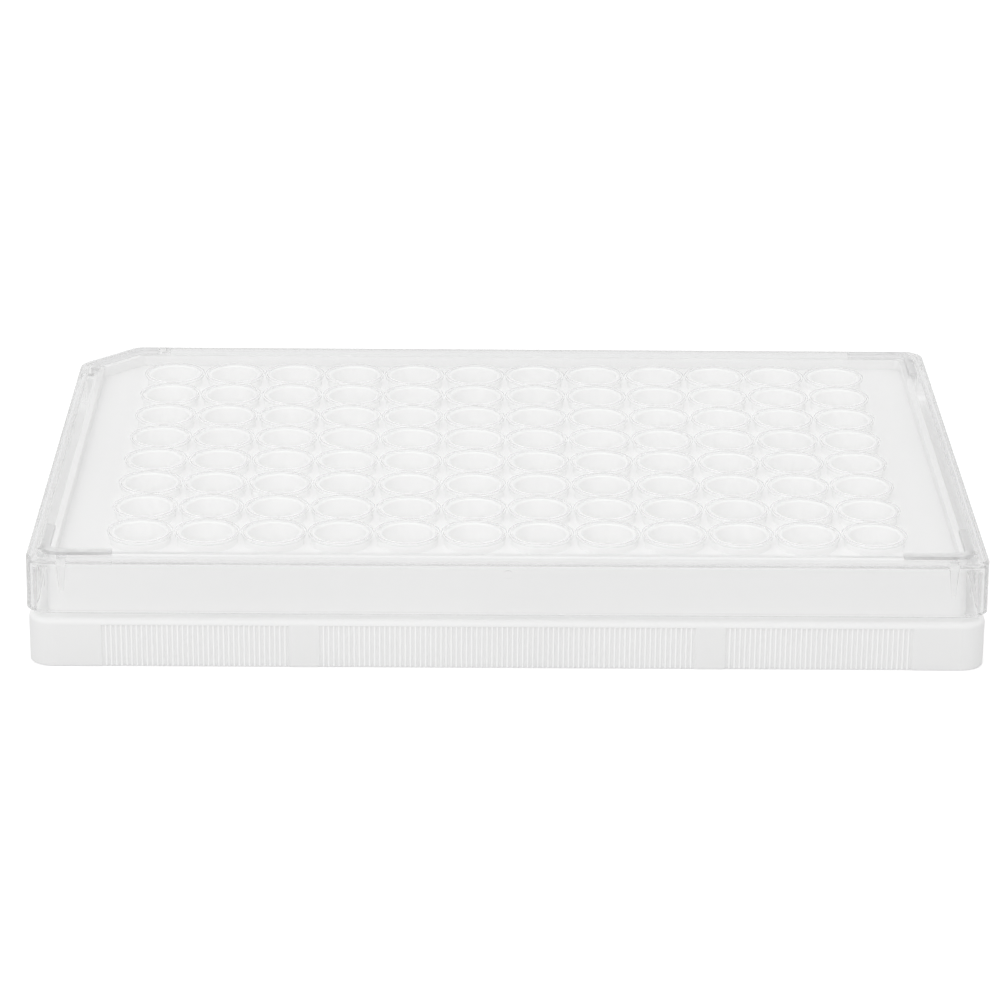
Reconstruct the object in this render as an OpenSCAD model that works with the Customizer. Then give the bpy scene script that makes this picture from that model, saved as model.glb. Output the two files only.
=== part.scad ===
// 96-well microplate with its lid, in millimetres.
// The origin is at the centre of the foot, +X runs along the twelve columns, +Y towards row A,
// and well A1 lies at the cut corner of the lid, at -X +Y.

/* [Flange] */
// Length of the base flange, the microplate standard's footprint
base_l = 127.76; // [124:0.01:160]
// Width of the base flange, the microplate standard's footprint
base_w = 85.48; // [83:0.01:110]
// Corner radius of the base flange
base_r = 3.2; // [2:0.1:6]
// Height of the base flange
flange_h = 6.7; // [5:0.1:9]
// Wall thickness of the base flange
flange_t = 1.3; // [0.8:0.1:2]
// Radius of the shoulder along the top of the flange
shoulder_r = 0.8; // [0.2:0.1:1.2]

/* [Grip flutes] */
// Distance from one flute to the next
flute_pitch = 0.68; // [0.5:0.01:1.5]
// Radius of the round cut that makes a flute
flute_r = 0.3; // [0.2:0.01:0.6]
// Depth of a flute
flute_d = 0.18; // [0.05:0.01:0.3]
// Plain stretch at each end of a long side
flute_margin = 9.88; // [6:0.01:20]
// Distance between the nearest flutes of two groups
flute_gap = 4.45; // [2:0.01:10]

/* [Plate body] */
// Height of the plate
plate_h = 14.35; // [12:0.05:20]
// Distance of the body's wall from the edge of the flange
body_inset = 2.6; // [2.3:0.1:4]
// Corner radius of the body
body_r = 2; // [1.5:0.1:4]
// Wall thickness of the body
body_t = 1; // [0.6:0.1:1.4]
// How far the body's wall leans out over its height
body_draft = 0.15; // [0:0.01:0.3]
// Radius of the body's top edge, outside
rim_edge_r = 0.3; // [0.1:0.05:0.5]
// Depth of the deck below the rim of the plate
deck_drop = 1.55; // [0.5:0.05:3]
// Thickness of the deck
deck_t = 1.2; // [0.8:0.1:2]

/* [Wells] */
// Number of columns
columns = 12; // [1:1:12]
// Number of rows
rows = 8; // [1:1:8]
// Distance from one well to the next
pitch = 9; // [9:0.1:9.4]
// Diameter of a well at its mouth
well_d = 6.86; // [5:0.01:7]
// Diameter of a well at its floor
well_floor_d = 6.4; // [4:0.01:6.8]
// Depth of a well
well_depth = 10.7; // [6:0.1:11]
// Thickness of a well's floor
well_floor_t = 1.1; // [0.6:0.1:1.4]
// Wall thickness of a well at its mouth
well_t = 0.52; // [0.4:0.01:0.6]
// How much wider a well's tube is at the deck than at its mouth
tube_draft = 0.12; // [0:0.01:0.2]
// How far the mouths of the wells lie below the rim of the plate
mouth_drop = 0.1; // [0.05:0.05:0.5]
// Chamfer on each edge of a well's mouth
mouth_chamfer = 0.15; // [0.05:0.01:0.18]

/* [Lid] */
// How far the lid stands out past the flange at its top edge
lid_over = 0.05; // [0:0.01:0.5]
// Corner radius of the lid
lid_r = 2.6; // [2.6:0.1:3]
// Length of the cut at corner A1, along each side
lid_notch = 7.7; // [4:0.1:12]
// Wall thickness of the lid
lid_t = 1.1; // [0.7:0.1:1.3]
// Thickness of the lid's top panel
panel_t = 0.85; // [0.7:0.05:1.5]
// How far the lid's wall leans out over its height
lid_draft = 0.1; // [0:0.01:0.2]
// Gap between the lid's lower edge and the flange
lid_gap = 0.9; // [0.3:0.1:2]
// Radius of the lid's top edge
lid_edge_r = 0.5; // [0.2:0.1:0.9]
// Radius of the fillet inside the lid's top edge
lid_fillet_r = 0.4; // [0.1:0.1:0.8]
// Chamfer on each side of the lid's lower edge
lid_chamfer = 0.25; // [0.1:0.05:0.3]

/* [Condensation rings] */
// Radius of a ring, to the middle of its wall
ring_r = 4.27; // [4.2:0.01:4.3]
// Wall thickness of a ring
ring_t = 0.34; // [0.2:0.01:0.36]
// How far a ring stands down from the panel
ring_h = 0.4; // [0.2:0.05:1]
// How much each side of a ring leans in over its height
ring_draft = 0.06; // [0:0.01:0.08]

/* [Stacking ridges] */
// Room between a ridge and the flange of a plate stacked on the lid
stack_clearance = 0.45; // [0.2:0.05:1]
// Width of a ridge
ridge_w = 1.3; // [0.8:0.1:2]
// Height of a ridge
ridge_h = 0.45; // [0.2:0.05:1]
// Length of each leg of a ridge, from the corner
ridge_leg = 9.6; // [7:0.1:14]
// Radius of a ridge round the corner, outside
ridge_r = 2.6; // [2:0.1:2.6]
// How much each side of a ridge leans in over its height
ridge_draft = 0.1; // [0:0.01:0.2]

/* [Locating ribs] */
// Room between a rib and the plate's body
rib_clearance = 0.25; // [0.1:0.05:0.5]
// Thickness of a rib under the panel
rib_t = 1.3; // [0.6:0.1:1.8]
// Thickness of a rib at its lower end
rib_tip_t = 0.2; // [0.1:0.05:0.5]
// Height of a rib
rib_h = 5.4; // [2:0.1:5.8]
// Distance of a rib from the corner that the lid's sides would meet at
rib_place = 4.75; // [4:0.05:8]

/* [Gate mark] */
// Diameter of the mark that the gate leaves in the middle of the lid's long side
gate_d = 1.2; // [0.8:0.1:2]
// How far the mark stands out
gate_h = 0.08; // [0.03:0.01:0.15]
// Distance of the mark's middle below the lid's top
gate_drop = 1.7; // [1.5:0.1:5]

/* [Hidden] */
$fn = 48;
FLUTE_FN = 16;
EMBED = 0.3;
DIAGONAL = sqrt(2);

deck_z = plate_h - deck_drop;
body_l = base_l - 2 * body_inset;
body_w = base_w - 2 * body_inset;
ledge_z = flange_h - flange_t;
mouth_z = plate_h - mouth_drop;
floor_z = mouth_z - well_depth;
tube_z = floor_z - well_floor_t;

lid_l = base_l + 2 * lid_over;
lid_w = base_w + 2 * lid_over;
panel_z = plate_h;
lid_h = panel_z + panel_t;
skirt_z = flange_h + lid_gap;
body_notch = parallel_notch(lid_notch, lid_over + body_inset);

ridge_in = lid_over + flange_t + stack_clearance;
rib_out = body_inset + lid_over - rib_clearance;

// A length to the nearest hundredth, so that what meets along a slanted side meets exactly.
function hundredth(x) = round(100 * x) / 100;

// The leg of a corner cut after its outline moves in by d, parallel to itself.
function parallel_notch(leg, d) = leg - (2 - DIAGONAL) * d;

// Centres of the corner arcs of a rounded rectangle, anticlockwise.
function box_centres(l, w, r) = [
    [-l / 2 + r, -w / 2 + r], [l / 2 - r, -w / 2 + r], [l / 2 - r, w / 2 - r], [-l / 2 + r, w / 2 - r]
];

// The same with the corner at -X +Y cut off at 45 degrees.
function notch_centres(l, w, r, leg) = let (cut = hundredth(leg - (2 - DIAGONAL) * r)) [
    [-l / 2 + r, -w / 2 + r], [l / 2 - r, -w / 2 + r], [l / 2 - r, w / 2 - r],
    [-l / 2 + r + cut, w / 2 - r], [-l / 2 + r, w / 2 - r - cut]
];

function after(list, i) = list[(i + 1) % len(list)];
function before(list, i) = list[(i + len(list) - 1) % len(list)];
// Direction of the outward normal of the edge from a to b.
function normal_angle(a, b) = atan2(a[0] - b[0], b[1] - a[1]);
function turn(from, to) = (to - from + 360) % 360;

// The outline through the arc centres, grown by EMBED so that it overlaps what is swept round it.
function core(centres) = [
    for (i = [0 : len(centres) - 1])
        let (
            here = centres[i],
            start = normal_angle(before(centres, i), here),
            half = turn(start, normal_angle(here, after(centres, i))) / 2
        )
        here + EMBED / cos(half) * [cos(start + half), sin(start + half)]
];

// Sweeps a profile round an outline: its x is the distance out from the arc centres, its y the height.
// Each side is drawn from both of its ends to a little past the middle, so it starts exactly at each corner.
// Turns are taken about the height z, near the profile, and corners start from a side along X or Y.
module sweep(centres, z) {
    for (i = [0 : len(centres) - 1]) {
        here = centres[i];
        next = after(centres, i);
        start = normal_angle(before(centres, i), here);
        side = normal_angle(here, next);
        bend = turn(start, side);
        half = norm(next - here) / 2 + EMBED;
        translate([here[0], here[1], z]) {
            rotate([0, 0, start % 90 == 0 ? start : side])
                rotate_extrude(angle = start % 90 == 0 ? bend : -bend)
                    translate([0, -z])
                        children();
            rotate([0, 0, side])
                rotate([90, 0, 0])
                    mirror([0, 0, 1])
                        linear_extrude(half)
                            translate([0, -z])
                                children();
        }
        translate([next[0], next[1], z])
            rotate([0, 0, side])
                rotate([90, 0, 0])
                    linear_extrude(half)
                        translate([0, -z])
                            children();
    }
}

// A straight-walled block with rounded corners of radius r about the given centres.
module block(centres, r, z0, z1) {
    translate([0, 0, z0])
        linear_extrude(z1 - z0)
            polygon(core(centres));
    sweep(centres, z1)
        translate([0, z0])
            square([r, z1 - z0]);
}

module at_wells() {
    for (i = [0 : columns - 1], j = [0 : rows - 1])
        translate([(i - (columns - 1) / 2) * pitch, ((rows - 1) / 2 - j) * pitch, 0])
            children();
}

// ---- plate ----

flange_centres = box_centres(base_l, base_w, base_r);
body_centres = notch_centres(body_l, body_w, body_r, body_notch);

// Groups of upright flutes on the two long sides: two short groups and one long one between.
flute_steps = floor((base_l - 2 * flute_margin - 2 * flute_gap) / flute_pitch);
end_steps = floor(flute_steps / 4);
mid_steps = flute_steps - 2 * end_steps;
end_start = mid_steps / 2 * flute_pitch + flute_gap;
flute_places = [
    for (k = [0 : mid_steps]) (k - mid_steps / 2) * flute_pitch,
    for (k = [0 : end_steps], side = [-1, 1]) side * (end_start + k * flute_pitch)
];

module flutes() {
    for (x = flute_places, side = [-1, 1])
        translate([x, side * (base_w / 2 + flute_r - flute_d), -EMBED])
            cylinder(r = flute_r, h = flange_h - shoulder_r + EMBED, $fn = FLUTE_FN);
}

module flange_profile() {
    polygon([
        [0, 0], [base_r, 0], [base_r, flange_h - shoulder_r], [base_r - shoulder_r, flange_h], [0, flange_h]
    ]);
    translate([base_r - shoulder_r, flange_h - shoulder_r])
        circle(shoulder_r);
}

module flange() {
    difference() {
        union() {
            linear_extrude(flange_h)
                polygon(core(flange_centres));
            sweep(flange_centres, flange_h)
                flange_profile();
        }
        flutes();
    }
}

module body_profile() {
    polygon([
        [0, ledge_z], [body_r + body_draft, ledge_z],
        [body_r, plate_h - rim_edge_r], [body_r - rim_edge_r, plate_h], [0, plate_h]
    ]);
    translate([body_r - rim_edge_r, plate_h - rim_edge_r])
        circle(rim_edge_r);
}

module body() {
    translate([0, 0, ledge_z])
        linear_extrude(plate_h - ledge_z)
            polygon(core(body_centres));
    sweep(body_centres, ledge_z)
        body_profile();
}

module shell() {
    difference() {
        union() {
            flange();
            body();
        }
        block(flange_centres, base_r - flange_t, -EMBED, ledge_z);
        block(body_centres, body_r - body_t, ledge_z - EMBED, deck_z - deck_t);
        block(body_centres, body_r - body_t, deck_z, plate_h + EMBED);
        at_wells()
            translate([0, 0, deck_z - deck_t - EMBED])
                cylinder(d = well_d + well_t, h = deck_t + 2 * EMBED);
    }
}

// A well and its tube, from the axis out.
module well_profile() {
    mouth = well_d / 2;
    outside = mouth + well_t;
    edge_z = mouth_z - mouth_chamfer;
    polygon([
        [0, tube_z], [outside - tube_draft, tube_z], [outside + tube_draft, deck_z], [outside, edge_z],
        [outside - mouth_chamfer, mouth_z], [mouth + mouth_chamfer, mouth_z], [mouth, edge_z],
        [well_floor_d / 2, floor_z], [0, floor_z]
    ]);
}

module plate() {
    color([0.96, 0.96, 0.95]) {
        shell();
        at_wells()
            rotate_extrude()
                well_profile();
    }
}

// ---- lid ----

lid_centres = notch_centres(lid_l, lid_w, lid_r, lid_notch);

// The panel's edge and the wall below it: a rounded top edge, a fillet inside and a chamfered lower edge.
module lid_profile() {
    inner = lid_r - lid_t;
    chamfer_z = skirt_z + lid_chamfer;
    polygon([
        [0, panel_z], [inner, panel_z], [inner, panel_z - lid_fillet_r],
        [inner + lid_draft, chamfer_z], [inner + lid_draft + lid_chamfer, skirt_z],
        [lid_r + lid_draft - lid_chamfer, skirt_z], [lid_r + lid_draft, chamfer_z],
        [lid_r, lid_h - lid_edge_r], [lid_r - lid_edge_r, lid_h], [0, lid_h]
    ]);
    translate([lid_r - lid_edge_r, lid_h - lid_edge_r])
        circle(lid_edge_r);
    difference() {
        translate([inner - lid_fillet_r, panel_z - lid_fillet_r])
            square(lid_fillet_r + EMBED);
        translate([inner - lid_fillet_r, panel_z - lid_fillet_r])
            circle(lid_fillet_r);
    }
}

// Rings under the panel, one round each well, that keep the drops which form there over their own well.
module rings() {
    foot = ring_t / 2 - ring_draft;
    root = ring_t / 2 + ring_draft * EMBED / ring_h;
    at_wells()
        rotate_extrude()
            translate([ring_r, panel_z])
                polygon([[-root, EMBED], [-foot, -ring_h], [foot, -ring_h], [root, EMBED]]);
}

// L-shaped ridges at the corners, which keep a plate stacked on the lid from sliding off.
module stacking_ridges() {
    centres = notch_centres(
        lid_l - 2 * ridge_in, lid_w - 2 * ridge_in, ridge_r, parallel_notch(lid_notch, ridge_in)
    );
    root = ridge_draft * EMBED / ridge_h;
    reach = ridge_leg + EMBED;
    middle = ridge_in - EMBED + reach / 2;
    intersection() {
        sweep(centres, lid_h)
            translate([ridge_r - ridge_w, lid_h])
                polygon([
                    [-root, -EMBED], [ridge_w + root, -EMBED],
                    [ridge_w - ridge_draft, ridge_h], [ridge_draft, ridge_h]
                ]);
        for (sx = [-1, 1], sy = [-1, 1])
            translate([sx * (lid_l / 2 - middle), sy * (lid_w / 2 - middle), lid_h])
                cube([reach, reach, 4 * ridge_h], center = true);
    }
}

// Wedges inside the wall near each corner, which centre the lid on the plate and run out downwards.
module rib() {
    top = panel_z + EMBED;
    tip = panel_z - rib_h;
    reach = rib_out - lid_t;
    intersection() {
        rotate([90, 0, 0])
            translate([0, 0, -rib_t])
                linear_extrude(2 * rib_t)
                    polygon([[-EMBED, top], [reach, top], [reach, panel_z - EMBED], [-EMBED, tip]]);
        rotate([90, 0, 90])
            translate([0, 0, -2 * EMBED])
                linear_extrude(rib_out + 2 * EMBED)
                    polygon([
                        [-rib_tip_t / 2, tip - EMBED], [rib_tip_t / 2, tip - EMBED],
                        [rib_t / 2, top], [-rib_t / 2, top]
                    ]);
    }
}

module locating_ribs() {
    for (sx = [-1, 1], sy = [-1, 1]) {
        cut = (sx < 0 && sy > 0) ? lid_notch : 0;
        translate([sx * (lid_l / 2 - lid_t), sy * (lid_w / 2 - rib_place - cut), 0])
            rotate([0, 0, sx > 0 ? 180 : 0])
                rib();
        translate([sx * (lid_l / 2 - rib_place - cut), sy * (lid_w / 2 - lid_t), 0])
            rotate([0, 0, -90 * sy])
                rib();
    }
}

// The round mark where the plastic entered the mould.
module gate_mark() {
    translate([0, -lid_w / 2 - gate_h, lid_h - gate_drop])
        rotate([-90, 0, 0])
            cylinder(d = gate_d, h = gate_h + EMBED);
}

module lid() {
    color([0.9, 0.93, 0.95, 0.35]) {
        translate([0, 0, panel_z])
            linear_extrude(panel_t)
                polygon(core(lid_centres));
        sweep(lid_centres, lid_h)
            lid_profile();
        rings();
        stacking_ridges();
        locating_ribs();
        gate_mark();
    }
}

plate();
lid();
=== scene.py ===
import math

import bpy
from mathutils import Matrix, Vector


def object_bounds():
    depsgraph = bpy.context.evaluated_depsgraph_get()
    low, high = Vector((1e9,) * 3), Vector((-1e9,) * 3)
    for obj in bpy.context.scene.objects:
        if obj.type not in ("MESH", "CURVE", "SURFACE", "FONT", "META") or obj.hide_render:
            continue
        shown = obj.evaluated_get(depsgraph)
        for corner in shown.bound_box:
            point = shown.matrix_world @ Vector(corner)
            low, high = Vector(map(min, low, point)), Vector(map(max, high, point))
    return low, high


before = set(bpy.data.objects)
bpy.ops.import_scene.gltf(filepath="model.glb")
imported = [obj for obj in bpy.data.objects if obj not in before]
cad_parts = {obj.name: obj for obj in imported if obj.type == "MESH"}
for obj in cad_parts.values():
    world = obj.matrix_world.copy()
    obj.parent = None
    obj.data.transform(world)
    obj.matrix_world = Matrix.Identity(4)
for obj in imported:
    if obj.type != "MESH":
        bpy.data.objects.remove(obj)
cad_low, cad_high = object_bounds()

# ---- sizes ----

MM = 0.001

# The lid. Its skirt leans out by its draft, and its ridges are the highest point of the model.
LID_DRAFT = 0.1 * MM
LID_X = cad_high[0] - LID_DRAFT
LID_Y = cad_high[1] - LID_DRAFT
LID_NOTCH = 7.7 * MM
RIDGE_H = 0.45 * MM
LID_TOP = cad_high[2] - RIDGE_H
PANEL_UNDER = LID_TOP - 0.85 * MM
LID_EDGE = 0.55 * MM  # how far in and down the rounded top edge reaches
LID_WALL = 1.25 * MM  # past the skirt and its draft, where only the ribs are left
RIB_TOP = PANEL_UNDER - 0.6 * MM
RING_R = 4.27 * MM
RING_HALF_WALL = 0.25 * MM

# The plate.
FLANGE_Y = LID_Y - 0.05 * MM
RIM_INSET = 3.15 * MM  # from the outline of the lid to the middle of the rim
PITCH = 9 * MM
GRID_X = 6 * PITCH
GRID_Y = 4 * PITCH
WELL_R = 3.45 * MM
TUBE_R = 4.15 * MM
WELL_FLOOR = 3.4 * MM
BORE_FADE = 12.2 * MM
WELL_TOP = 14.25 * MM
DECK_FROM = 12.2 * MM
DECK_TOP = 12.85 * MM
BODY_FROM = 6.9 * MM
FLUTE_DEEP = 0.14 * MM
FLUTE_TOP = 5.9 * MM
MID_FLUTES = 25.1 * MM
END_FLUTES = (29.0 * MM, 54.0 * MM)

# ---- finishes, in numbers ----

POLYSTYRENE_IOR = 1.59
CLEAR = (0.99, 0.99, 0.99, 1)
CLEAR_TO_LIGHT = (0.985, 0.985, 0.985, 1)
POLISH = (0.015, 0.035)
RING_MATT = 0.09
EDGE_MATT = 0.25
RIDGE_MATT = 0.3
RIB_MATT = 0.35

# Painted light and shade: how bright the white plastic is made, place by place, standing in for how light
# falls on it.
FLANGE_PAINTED_SHADE = 0.775
LAND_PAINTED_HIGHLIGHT = 0.9
BODY_PAINTED_SHADE = 0.812
MARGIN_PAINTED_SHADE = 0.82
DECK_PAINTED_LIGHT = 0.92
TUBE_PAINTED_SHADE = 0.88
WELL_PAINTED_LIGHT = 0.98
MOUTH_PAINTED_LIGHT = 0.92
WARMTH = 0.002
FLOW = (1.0, 0.985)
SATIN = (0.36, 0.46)

# ---- studio, in numbers ----

STAND = Vector((-0.00536, -0.5003, 0.2051))  # where the camera stands
DOWN = math.radians(21.584)
ASIDE = math.radians(0.525)
TILT = math.radians(0.52)
LENS = 135.1
SENSOR = 36.0

# How bright the white room is: as light on the object, in gloss, through the clear lid, and as the backdrop.
ROOM_LEVELS = (0.95, 1.0, 0.82, 1.0)
FLOOR_LIFTS = (0.0, 0.2, 0.03, 0.4)
PAPER = (0.7, 0.7, 0.7, 1)
FLOOR_SIZE = 6.0
FLOOR_Z = -0.1 * MM

LAMP_SIZE = 0.7
LAMPS = (
    ("overhead", (-0.2, 0.0, 0.9), 0.6),
    ("front", (-0.15, -0.8, 0.5), 2.1),
    ("back", (-0.15, 0.8, 0.5), 0.6),
)


# ---- node helpers ----


def new_material(name):
    material = bpy.data.materials.new(name)
    material.use_nodes = True
    material.node_tree.nodes.clear()
    return material, material.node_tree


def add(tree, kind, **values):
    """Adds a node; a value named after an input is set on its socket, any other on the node."""
    node = tree.nodes.new(kind)
    for name, value in values.items():
        socket = name.replace("_", " ")
        if socket in node.inputs:
            node.inputs[socket].default_value = value
        else:
            setattr(node, name, value)
    return node


def place(tree):
    return add(tree, "ShaderNodeTexCoord").outputs["Object"]


def place_axes(tree):
    axes = add(tree, "ShaderNodeSeparateXYZ")
    tree.links.new(place(tree), axes.inputs["Vector"])
    return [axes.outputs[name] for name in "XYZ"]


def noise(tree, scale, detail):
    node = add(tree, "ShaderNodeTexNoise", Scale=scale, Detail=detail, Roughness=0.5)
    tree.links.new(place(tree), node.inputs["Vector"])
    return node.outputs["Fac"]


def remap(tree, value, start, end, low=0.0, high=1.0):
    """Turns start to end into low to high, evenly, and stays at low and high beyond them."""
    node = add(tree, "ShaderNodeMapRange", From_Min=start, From_Max=end, To_Min=low, To_Max=high)
    tree.links.new(value, node.inputs["Value"])
    return node.outputs["Result"]


def spread_over(tree, value, reach):
    """Turns the middle of a noise value into the reach from its first to its last number."""
    return remap(tree, value, 0.3, 0.7, *reach)


def calculate(tree, operation, first, second=0.0, third=0.0):
    """One step of arithmetic; each value is a number or an output."""
    node = add(tree, "ShaderNodeMath", operation=operation)
    for socket, value in zip(node.inputs, (first, second, third)):
        if isinstance(value, (int, float)):
            socket.default_value = value
        else:
            tree.links.new(value, socket)
    return node.outputs["Value"]


def size_of(tree, value):
    return calculate(tree, "ABSOLUTE", value)


def all_of(tree, first, *others):
    for value in others:
        first = calculate(tree, "MULTIPLY", first, value)
    return first


def below(tree, value, limit):
    """1 where a value is less than the limit, 0 elsewhere."""
    return calculate(tree, "LESS_THAN", value, limit)


def blend(tree, amount, first, second):
    """A colour between two, each a colour or an output."""
    node = add(tree, "ShaderNodeMix", data_type="RGBA")
    for name, value in (("A", first), ("B", second)):
        if isinstance(value, tuple):
            node.inputs[name].default_value = value
        else:
            tree.links.new(value, node.inputs[name])
    tree.links.new(amount, node.inputs["Factor"])
    return node.outputs["Result"]


def bumps(tree, shader, height, strength, distance):
    bump = add(tree, "ShaderNodeBump", Strength=strength, Distance=distance)
    tree.links.new(height, bump.inputs["Height"])
    tree.links.new(bump.outputs["Normal"], shader.inputs["Normal"])


def show(tree, surface):
    out = add(tree, "ShaderNodeOutputMaterial")
    tree.links.new(surface, out.inputs["Surface"])


# ---- places on the mouldings ----


def from_outline(tree, x, y):
    """How far inside the outline of the lid a place is, seen from above, with the cut corner at well A1."""
    sides = calculate(
        tree, "MINIMUM",
        calculate(tree, "SUBTRACT", LID_X, size_of(tree, x)),
        calculate(tree, "SUBTRACT", LID_Y, size_of(tree, y)),
    )
    across = calculate(tree, "SUBTRACT", LID_X + LID_Y - LID_NOTCH, calculate(tree, "SUBTRACT", y, x))
    return calculate(tree, "MINIMUM", sides, calculate(tree, "MULTIPLY", across, math.sqrt(0.5)))


def from_well_axis(tree, x, y):
    """Distance from the axis of the nearest well of an endless grid."""
    squares = []
    for axis in (x, y):
        off = calculate(tree, "SUBTRACT", calculate(tree, "WRAP", axis, PITCH), PITCH / 2)
        squares.append(calculate(tree, "POWER", off, 2))
    return calculate(tree, "SQRT", calculate(tree, "ADD", *squares))


def on_the_grid(tree, x, y):
    return all_of(tree, below(tree, size_of(tree, x), GRID_X), below(tree, size_of(tree, y), GRID_Y))


def among_the_wells(tree, x, y):
    """1 between the wells, fading out over the margin of the grid."""
    fades = [
        remap(tree, size_of(tree, axis), reach + 1.0 * MM, reach - 1.5 * MM)
        for axis, reach in ((x, GRID_X), (y, GRID_Y))
    ]
    return all_of(tree, *fades)


def flute_lands(tree, x, y, z):
    """1 on the raised lands of the three groups of flutes, 0 down in the grooves."""
    reach = size_of(tree, x)
    ends = calculate(tree, "SUBTRACT", below(tree, reach, END_FLUTES[1]), below(tree, reach, END_FLUTES[0]))
    return all_of(
        tree, calculate(tree, "ADD", below(tree, reach, MID_FLUTES), ends),
        remap(tree, size_of(tree, y), FLANGE_Y - FLUTE_DEEP, FLANGE_Y), below(tree, z, FLUTE_TOP),
    )


# ---- finishes ----


def white(level):
    return (level, level, level - WARMTH, 1)


def painted_light_tones(tree):
    """Painted light and shade on the white plastic: flange, flutes and body outside, then the deck, the
    tubes and the bores, each a lighter or darker white for how light falls there.
    """
    x, y, z = place_axes(tree)
    # Painted highlight on the flute lands, against painted shade on the rest of the flange.
    colour = blend(tree, flute_lands(tree, x, y, z), white(FLANGE_PAINTED_SHADE), white(LAND_PAINTED_HIGHLIGHT))
    # Painted shade: the body outside, above the flange, is made a darker white.
    colour = blend(tree, remap(tree, z, BODY_FROM, BODY_FROM + 0.3 * MM), colour, white(BODY_PAINTED_SHADE))
    # Painted light on the deck between the wells, painted shade on its margin.
    deck = all_of(
        tree, remap(tree, z, DECK_FROM, DECK_FROM + 0.2 * MM),
        calculate(tree, "GREATER_THAN", from_outline(tree, x, y), RIM_INSET),
    )
    deck_painted_light = blend(tree, among_the_wells(tree, x, y), white(MARGIN_PAINTED_SHADE), white(DECK_PAINTED_LIGHT))
    colour = blend(tree, deck, colour, deck_painted_light)
    grid = on_the_grid(tree, x, y)
    axis = from_well_axis(tree, x, y)
    # Painted shade: the tubes standing above the deck are made a darker white.
    tube = all_of(
        tree, grid, remap(tree, axis, TUBE_R + 0.1 * MM, TUBE_R),
        remap(tree, z, DECK_TOP, DECK_TOP + 0.2 * MM),
    )
    colour = blend(tree, tube, colour, white(TUBE_PAINTED_SHADE))
    # Painted light in the bores: brightest deep down, a little less bright at the mouth.
    bore = all_of(
        tree, grid, remap(tree, axis, WELL_R + 0.1 * MM, WELL_R),
        remap(tree, z, WELL_FLOOR, WELL_FLOOR + 0.1 * MM),
    )
    bore_painted_light = blend(tree, remap(tree, z, BORE_FADE, WELL_TOP), white(WELL_PAINTED_LIGHT), white(MOUTH_PAINTED_LIGHT))
    return blend(tree, bore, colour, bore_painted_light)


def white_polystyrene():
    """Opaque white moulding: satin, with a fine spark-eroded grain, faint flow in the colour, and painted
    light and shade place by place.
    """
    material, tree = new_material("white_polystyrene")
    shader = add(tree, "ShaderNodeBsdfPrincipled", IOR=POLYSTYRENE_IOR)
    cloud = add(tree, "ShaderNodeMix", data_type="RGBA", blend_type="MULTIPLY", Factor=1.0)
    tree.links.new(painted_light_tones(tree), cloud.inputs["A"])
    tree.links.new(spread_over(tree, noise(tree, 45.0, 2.0), FLOW), cloud.inputs["B"])
    tree.links.new(cloud.outputs["Result"], shader.inputs["Base Color"])
    grain = noise(tree, 9000.0, 2.0)
    tree.links.new(spread_over(tree, grain, SATIN), shader.inputs["Roughness"])
    bumps(tree, shader, grain, strength=0.06, distance=0.02 * MM)
    show(tree, shader.outputs["BSDF"])
    return material


def clear_roughness(tree):
    """Polished all over, and a little matt on the rings, the rounded top edge, the ridges and the ribs."""
    x, y, z = place_axes(tree)
    inward = from_outline(tree, x, y)
    off_ring = size_of(tree, calculate(tree, "SUBTRACT", from_well_axis(tree, x, y), RING_R))
    ring = all_of(
        tree, on_the_grid(tree, x, y), remap(tree, off_ring, RING_HALF_WALL + 0.02 * MM, RING_HALF_WALL),
        below(tree, z, PANEL_UNDER + 0.02 * MM),
    )
    edge = all_of(
        tree, remap(tree, inward, LID_EDGE, LID_EDGE - 0.05 * MM),
        remap(tree, z, LID_TOP - LID_EDGE, LID_TOP - LID_EDGE + 0.05 * MM),
    )
    ridge = remap(tree, z, LID_TOP, LID_TOP + 0.02 * MM)
    rib = all_of(tree, below(tree, z, RIB_TOP), remap(tree, inward, LID_WALL, LID_WALL + 0.1 * MM))
    rough = spread_over(tree, noise(tree, 160.0, 3.0), POLISH)
    for spot, matt in ((ring, RING_MATT), (edge, EDGE_MATT), (ridge, RIDGE_MATT), (rib, RIB_MATT)):
        rough = calculate(tree, "MAXIMUM", rough, calculate(tree, "MULTIPLY", spot, matt))
    return rough


def clear_polystyrene():
    """Clear moulding. Lamps and bounced light pass straight through it, so what it covers is lit."""
    material, tree = new_material("clear_polystyrene")
    shader = add(
        tree, "ShaderNodeBsdfPrincipled", Base_Color=CLEAR, IOR=POLYSTYRENE_IOR, Transmission_Weight=1.0
    )
    tree.links.new(clear_roughness(tree), shader.inputs["Roughness"])
    bumps(tree, shader, noise(tree, 60.0, 1.0), strength=0.03, distance=0.2 * MM)
    through = add(tree, "ShaderNodeBsdfTransparent", Color=CLEAR_TO_LIGHT)
    ray = add(tree, "ShaderNodeLightPath")
    light = calculate(tree, "MAXIMUM", ray.outputs["Is Shadow Ray"], ray.outputs["Is Diffuse Ray"])
    pick = add(tree, "ShaderNodeMixShader")
    tree.links.new(light, pick.inputs["Fac"])
    tree.links.new(shader.outputs["BSDF"], pick.inputs[1])
    tree.links.new(through.outputs["BSDF"], pick.inputs[2])
    show(tree, pick.outputs["Shader"])
    return material


def dress(node, material):
    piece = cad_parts[node]
    piece.data.materials.clear()
    piece.data.materials.append(material)


# ---- studio ----


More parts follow.
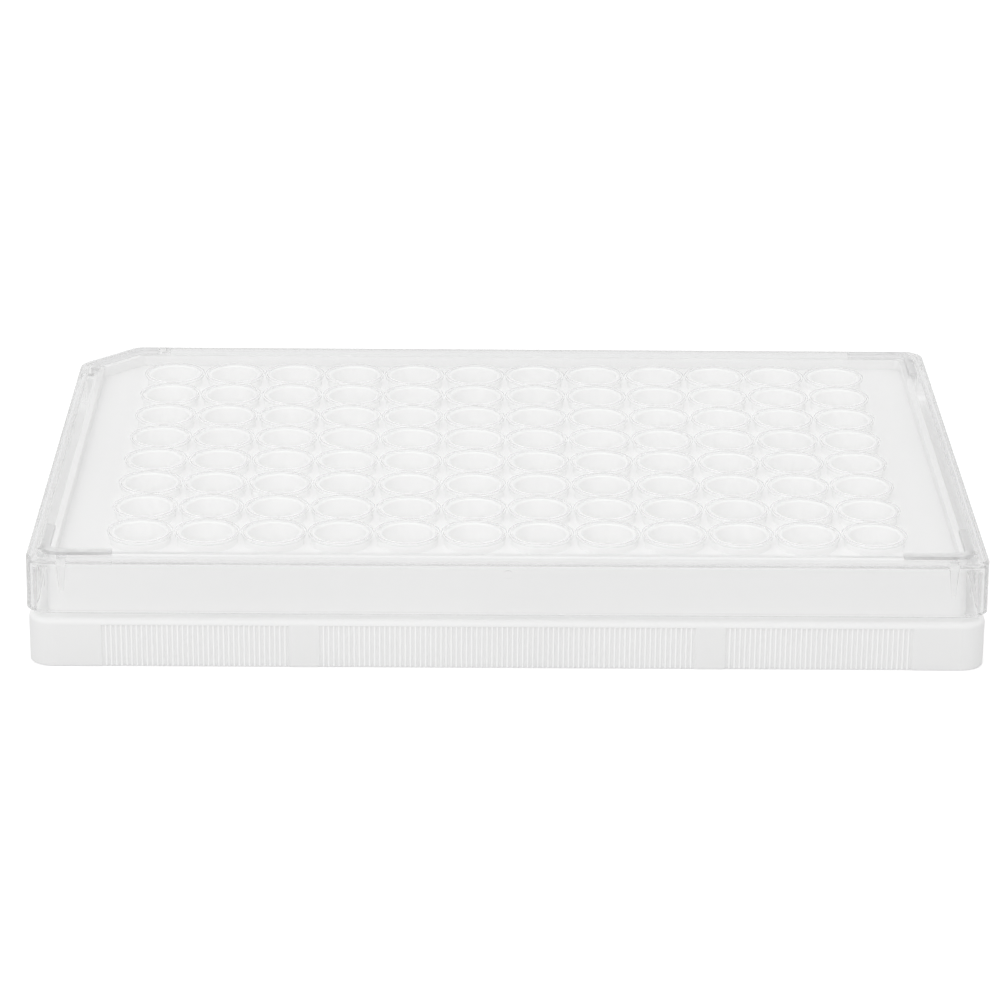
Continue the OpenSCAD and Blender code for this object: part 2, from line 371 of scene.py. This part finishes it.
def room_level(tree, kind, levels):
    """Light of four levels: for what it falls on, in gloss, through the clear lid and as the backdrop."""
    ray = add(tree, "ShaderNodeLightPath")
    level = add(tree, kind, Color=(1, 1, 1, 1), Strength=levels[0]).outputs[0]
    for seen, strength in zip(("Is Glossy Ray", "Is Transmission Ray", "Is Camera Ray"), levels[1:]):
        other = add(tree, kind, Color=(1, 1, 1, 1), Strength=strength)
        pick = add(tree, "ShaderNodeMixShader")
        tree.links.new(ray.outputs[seen], pick.inputs["Fac"])
        tree.links.new(level, pick.inputs[1])
        tree.links.new(other.outputs[0], pick.inputs[2])
        level = pick.outputs["Shader"]
    return level


def white_room():
    world = bpy.data.worlds.new("white_room")
    bpy.context.scene.world = world
    world.use_nodes = True
    tree = world.node_tree
    tree.nodes.clear()
    out = add(tree, "ShaderNodeOutputWorld")
    tree.links.new(room_level(tree, "ShaderNodeBackground", ROOM_LEVELS), out.inputs["Surface"])


def floor_paper():
    """White paper that reads as white to the eye and still takes the object's shadow."""
    material, tree = new_material("floor_paper")
    paper = add(tree, "ShaderNodeBsdfDiffuse", Color=PAPER)
    both = add(tree, "ShaderNodeAddShader")
    tree.links.new(paper.outputs["BSDF"], both.inputs[0])
    tree.links.new(room_level(tree, "ShaderNodeEmission", FLOOR_LIFTS), both.inputs[1])
    show(tree, both.outputs["Shader"])
    return material


def floor():
    bpy.ops.object.select_all(action="DESELECT")
    bpy.ops.mesh.primitive_plane_add(size=FLOOR_SIZE, location=(0, 0, FLOOR_Z))
    ground = bpy.context.object
    ground.name = "floor"
    ground.data.materials.append(floor_paper())


def stand(name, data):
    """Puts a camera or a lamp into the scene."""
    holder = bpy.data.objects.new(name, data)
    bpy.context.scene.collection.objects.link(holder)
    return holder


def lamp(name, where, power):
    """A soft square lamp that looks at the middle of the plate and leaves no glare on the lid."""
    data = bpy.data.lights.new(name, "AREA")
    data.shape = "SQUARE"
    data.size = LAMP_SIZE
    data.energy = power
    holder = stand(name, data)
    holder.location = where
    holder.rotation_euler = (-Vector(where)).to_track_quat("-Z", "Y").to_euler()
    holder.visible_glossy = False
    holder.visible_transmission = False


def long_light_paths():
    """Light that is caught inside the clear walls needs many turns to find its way out."""
    paths = bpy.context.scene.cycles
    paths.max_bounces = 160
    paths.glossy_bounces = 160
    paths.transmission_bounces = 160
    paths.diffuse_bounces = 12
    paths.transparent_max_bounces = 48


def camera():
    data = bpy.data.cameras.new("camera")
    data.lens = LENS
    data.sensor_width = SENSOR
    data.clip_start = 0.02
    data.clip_end = 20.0
    holder = stand("camera", data)
    aim = (
        Matrix.Rotation(-ASIDE, 4, "Z")
        @ Matrix.Rotation(math.pi / 2 - DOWN, 4, "X")
        @ Matrix.Rotation(TILT, 4, "Z")
    )
    holder.matrix_world = Matrix.Translation(STAND) @ aim
    bpy.context.scene.camera = holder


camera()
long_light_paths()
white_room()
floor()
for name, where, power in LAMPS:
    lamp(name, where, power)
bpy.context.scene.view_settings.view_transform = "Standard"

dress("plate", white_polystyrene())
dress("lid", clear_polystyrene())
